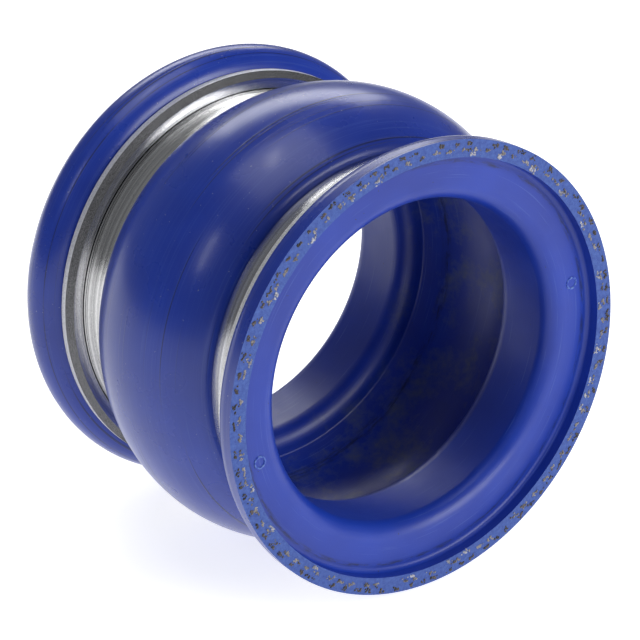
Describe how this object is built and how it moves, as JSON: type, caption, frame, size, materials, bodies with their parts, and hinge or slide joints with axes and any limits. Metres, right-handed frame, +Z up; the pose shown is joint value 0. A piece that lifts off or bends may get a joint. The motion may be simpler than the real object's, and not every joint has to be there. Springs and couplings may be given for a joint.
{
  "type": "rubber expansion joint",
  "caption": "Short reinforced blue rubber expansion joint with a single round arch, flanged cut ends and steel backing rings behind the flanges.",
  "frame": {"origin": "centre of the front cut face, on the axis, at the mouth of the front recess", "axes": "+Y along the hose's axis, from the front cut face to the rear one; the front end faces -Y; +Z up"},
  "size_m": [0.1278, 0.099, 0.1278],
  "materials": {
    "cover_rubber": "satin moulded silicone",
    "liner_rubber": "satin moulded silicone",
    "tie_rubber": "matte cut silicone",
    "knitted_ply": "knitted polyester in silicone",
    "ring_steel": "turned, lightly grained"
  },
  "bodies": {
    "front_end": {"front_end_liner": "liner_rubber", "front_end_inner_ply": "knitted_ply", "front_end_inner_tie": "tie_rubber", "front_end_middle_ply": "knitted_ply", "front_end_outer_tie": "tie_rubber", "front_end_outer_ply": "knitted_ply", "front_end_cover": "cover_rubber", "front_ring": "ring_steel"},
    "front_flank": {"front_flank_liner": "liner_rubber", "front_flank_inner_ply": "knitted_ply", "front_flank_inner_tie": "tie_rubber", "front_flank_middle_ply": "knitted_ply", "front_flank_outer_tie": "tie_rubber", "front_flank_outer_ply": "knitted_ply", "front_flank_cover": "cover_rubber"},
    "crown": {"crown_liner": "liner_rubber", "crown_inner_ply": "knitted_ply", "crown_inner_tie": "tie_rubber", "crown_middle_ply": "knitted_ply", "crown_outer_tie": "tie_rubber", "crown_outer_ply": "knitted_ply", "crown_cover": "cover_rubber"},
    "rear_flank": {"rear_flank_liner": "liner_rubber", "rear_flank_inner_ply": "knitted_ply", "rear_flank_inner_tie": "tie_rubber", "rear_flank_middle_ply": "knitted_ply", "rear_flank_outer_tie": "tie_rubber", "rear_flank_outer_ply": "knitted_ply", "rear_flank_cover": "cover_rubber"},
    "rear_end": {"rear_end_liner": "liner_rubber", "rear_end_inner_ply": "knitted_ply", "rear_end_inner_tie": "tie_rubber", "rear_end_middle_ply": "knitted_ply", "rear_end_outer_tie": "tie_rubber", "rear_end_outer_ply": "knitted_ply", "rear_end_cover": "cover_rubber", "rear_ring": "ring_steel"}
  },
  "joints": [
    {"name": "front_bend", "type": "hinge", "parent": "front_end", "child": "front_flank", "pos_m": [0, 0.0249, 0], "axis": [0, 0, 1], "range_deg": [-2.5, 2.5], "stiffness_Nm_per_rad": 40, "deforming": ["front_flank_liner", "front_flank_inner_ply", "front_flank_inner_tie", "front_flank_middle_ply", "front_flank_outer_tie", "front_flank_outer_ply", "front_flank_cover"]},
    {"name": "front_squeeze", "type": "slide", "parent": "front_flank", "child": "crown", "axis": [0, -1, 0], "range_m": [-0.0015, 0.0025], "stiffness_N_per_m": 20000, "deforming": ["crown_liner", "crown_inner_ply", "crown_inner_tie", "crown_middle_ply", "crown_outer_tie", "crown_outer_ply", "crown_cover"]},
    {"name": "rear_squeeze", "type": "slide", "parent": "crown", "child": "rear_flank", "axis": [0, -1, 0], "range_m": [-0.0015, 0.0025], "stiffness_N_per_m": 20000},
    {"name": "rear_bend", "type": "hinge", "parent": "rear_flank", "child": "rear_end", "pos_m": [0, 0.0709, 0], "axis": [0, 0, 1], "range_deg": [-2.5, 2.5], "stiffness_Nm_per_rad": 40, "deforming": ["rear_flank_liner", "rear_flank_inner_ply", "rear_flank_inner_tie", "rear_flank_middle_ply", "rear_flank_outer_tie", "rear_flank_outer_ply", "rear_flank_cover"]}
  ],
  "couplings": [
    {"joint": "rear_squeeze", "follows": "front_squeeze", "ratio": 1}
  ]
}
